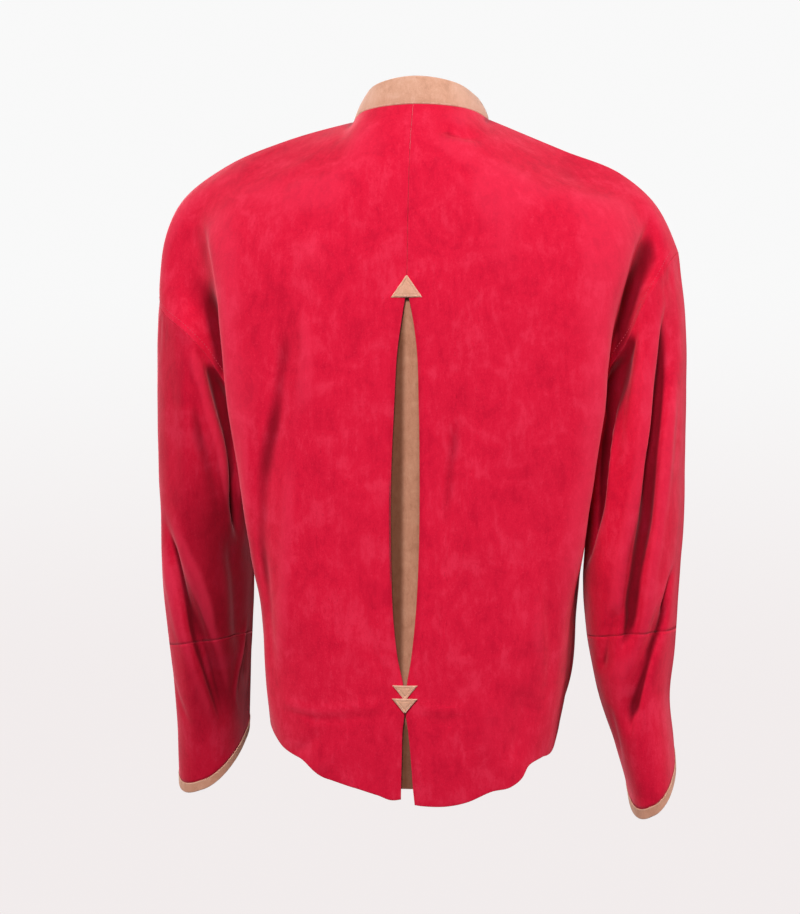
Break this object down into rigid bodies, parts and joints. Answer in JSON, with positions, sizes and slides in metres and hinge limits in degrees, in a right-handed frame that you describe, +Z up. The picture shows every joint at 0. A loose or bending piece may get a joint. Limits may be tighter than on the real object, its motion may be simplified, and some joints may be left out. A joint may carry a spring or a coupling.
{
  "type": "trachten blazer",
  "caption": "Hip-length suede folk jacket in worn form, with stand collar, open inverted back pleat, triangular tabs, dropped shoulders and bound cuffs.",
  "frame": {"origin": "middle of the neck opening, level with the inner ends of the shoulder seams, where the wearer's neck and shoulders hold the jacket", "axes": "+X to the wearer's left, +Y to the wearer's back, +Z up along the wearer's spine"},
  "size_m": [0.549, 0.2507, 0.7437],
  "materials": {
    "suede_red": "napped suede, matt, mottled",
    "suede_tan": "napped suede, matt",
    "button_horn": "horn look, satin"
  },
  "bodies": {
    "root": {"back_left": "suede_red", "back_right": "suede_red", "front_left": "suede_red", "front_right": "suede_red", "sleeve_upper_left": "suede_red", "sleeve_lower_left": "suede_red", "cuff_binding_left": "suede_tan", "sleeve_upper_right": "suede_red", "sleeve_lower_right": "suede_red", "cuff_binding_right": "suede_tan", "collar": "suede_tan", "pleat_underlay": "suede_tan", "tab_top": "suede_tan", "tab_middle": "suede_tan", "tab_bottom": "suede_tan", "button_1": "button_horn", "button_2": "button_horn", "button_3": "button_horn", "button_4": "button_horn", "button_5": "button_horn"}
  },
  "joints": []
}
